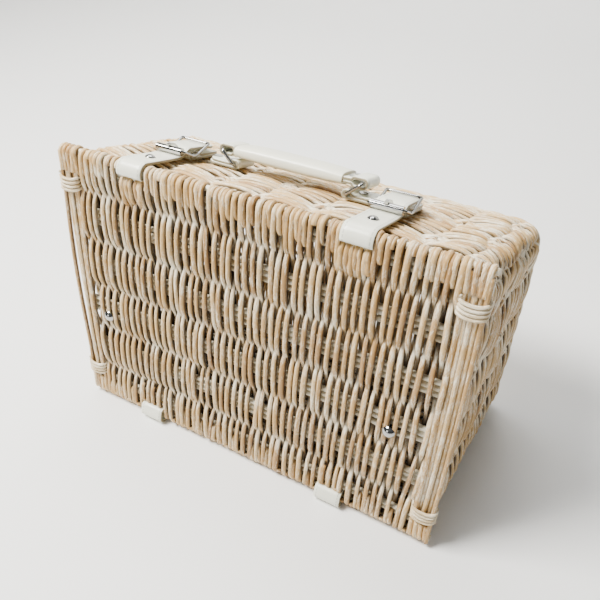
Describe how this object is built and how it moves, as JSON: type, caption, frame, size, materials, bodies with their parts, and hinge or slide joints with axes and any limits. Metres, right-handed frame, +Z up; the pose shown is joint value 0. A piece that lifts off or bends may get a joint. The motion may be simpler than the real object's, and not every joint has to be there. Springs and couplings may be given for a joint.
{
  "type": "wicker picnic hamper",
  "caption": "Whitewashed woven willow hamper with a flat hinged lid, leather straps with roller buckles, and a sleeved carrying handle on wire loops.",
  "frame": {"origin": "centre of the overall box, on the plane of the hinge wall that the hamper stands on", "axes": "+X along the hamper's length, +Z up, -Y towards the lid, +Y towards the base panel"},
  "size_m": [0.356, 0.1968, 0.2445],
  "materials": {
    "woven_willow": "whitewashed, satin",
    "peeled_willow": "whitewashed, satin",
    "split_cane": "satin",
    "ivory_leather": "smooth coated, olive cut edges",
    "bright_nickel": "polished"
  },
  "bodies": {
    "case": {"buckle_frame_left": "bright_nickel", "buckle_frame_right": "bright_nickel", "buckle_tab_left": "ivory_leather", "buckle_tab_right": "ivory_leather", "buckle_tab_rivets_left": "bright_nickel", "buckle_tab_rivets_right": "bright_nickel", "case_base_sticks": "peeled_willow", "case_base_weave": "woven_willow", "case_corner_posts": "peeled_willow", "case_rim_border": "woven_willow", "case_wall_stakes": "peeled_willow", "case_wall_weave": "woven_willow", "handle_tab_left": "ivory_leather", "handle_tab_right": "ivory_leather", "handle_tab_rivets_left": "bright_nickel", "handle_tab_rivets_right": "bright_nickel", "hinge_case_leaf_left": "ivory_leather", "hinge_case_leaf_right": "ivory_leather", "hinge_rivets": "bright_nickel"},
    "lid": {"closure_strap_loop_left": "ivory_leather", "closure_strap_loop_right": "ivory_leather", "hinge_lid_leaf_left": "ivory_leather", "hinge_lid_leaf_right": "ivory_leather", "lid_bottom_border_sticks": "peeled_willow", "lid_cross_sticks": "peeled_willow", "lid_lashing_bottom_left": "split_cane", "lid_lashing_bottom_right": "split_cane", "lid_lashing_top_left": "split_cane", "lid_lashing_top_right": "split_cane", "lid_side_rods_left": "peeled_willow", "lid_side_rods_right": "peeled_willow", "lid_stud_left": "bright_nickel", "lid_stud_right": "bright_nickel", "lid_stud_washers": "bright_nickel", "lid_top_border_sticks": "peeled_willow", "lid_weave": "woven_willow", "plate_strap": "ivory_leather"},
    "handle": {"handle_core": "ivory_leather", "handle_grip_sleeve": "ivory_leather", "handle_rivets": "bright_nickel"},
    "prong_left": {"prong_left": "bright_nickel"},
    "prong_right": {"prong_right": "bright_nickel"},
    "ring_left": {"ring_left": "bright_nickel"},
    "ring_right": {"ring_right": "bright_nickel"},
    "roller_left": {"roller_left": "bright_nickel"},
    "roller_right": {"roller_right": "bright_nickel"},
    "strap_left": {"strap_stud_left": "bright_nickel", "strap_tongue_left": "ivory_leather"},
    "strap_right": {"strap_stud_right": "bright_nickel", "strap_tongue_right": "ivory_leather"}
  },
  "joints": [
    {"name": "lid_hinge", "type": "hinge", "parent": "case", "child": "lid", "pos_m": [0, -0.09054, 0.0082], "axis": [1, 0, 0], "range_deg": [0, 101]},
    {"name": "strap_fold_left", "type": "hinge", "parent": "lid", "child": "strap_left", "pos_m": [-0.0968, -0.04034, 0.24344], "axis": [1, 0, 0], "range_deg": [0, 104.5]},
    {"name": "prong_turn_left", "type": "hinge", "parent": "case", "child": "prong_left", "pos_m": [-0.0968, 0.00736, 0.22402], "axis": [-1, 0, 0], "range_deg": [0, 62]},
    {"name": "roller_spin_left", "type": "hinge", "parent": "case", "child": "roller_left", "pos_m": [-0.0968, -0.00499, 0.23344], "axis": [1, 0, 0], "continuous": true},
    {"name": "strap_fold_right", "type": "hinge", "parent": "lid", "child": "strap_right", "pos_m": [0.0852, -0.04034, 0.24344], "axis": [1, 0, 0], "range_deg": [0, 104.5]},
    {"name": "prong_turn_right", "type": "hinge", "parent": "case", "child": "prong_right", "pos_m": [0.0852, 0.00736, 0.22402], "axis": [-1, 0, 0], "range_deg": [0, 62]},
    {"name": "roller_spin_right", "type": "hinge", "parent": "case", "child": "roller_right", "pos_m": [0.0852, -0.00499, 0.23344], "axis": [1, 0, 0], "continuous": true},
    {"name": "handle_lift", "type": "slide", "parent": "case", "child": "handle", "axis": [0, 0.3811, 0.9245], "range_m": [0, 0.004]},
    {"name": "ring_swing_left", "type": "hinge", "parent": "case", "child": "ring_left", "pos_m": [-0.05, 0.024, 0.21716], "axis": [0, 0.9245, -0.3811], "range_deg": [0, 24.95]},
    {"name": "ring_swing_right", "type": "hinge", "parent": "case", "child": "ring_right", "pos_m": [0.046, 0.024, 0.21716], "axis": [0, 0.9245, -0.3811], "range_deg": [-24.95, 0]}
  ],
  "couplings": [
    {"joint": "ring_swing_left", "follows": "handle_lift", "rad_per_m": 108.8},
    {"joint": "ring_swing_right", "follows": "handle_lift", "rad_per_m": -108.8}
  ]
}
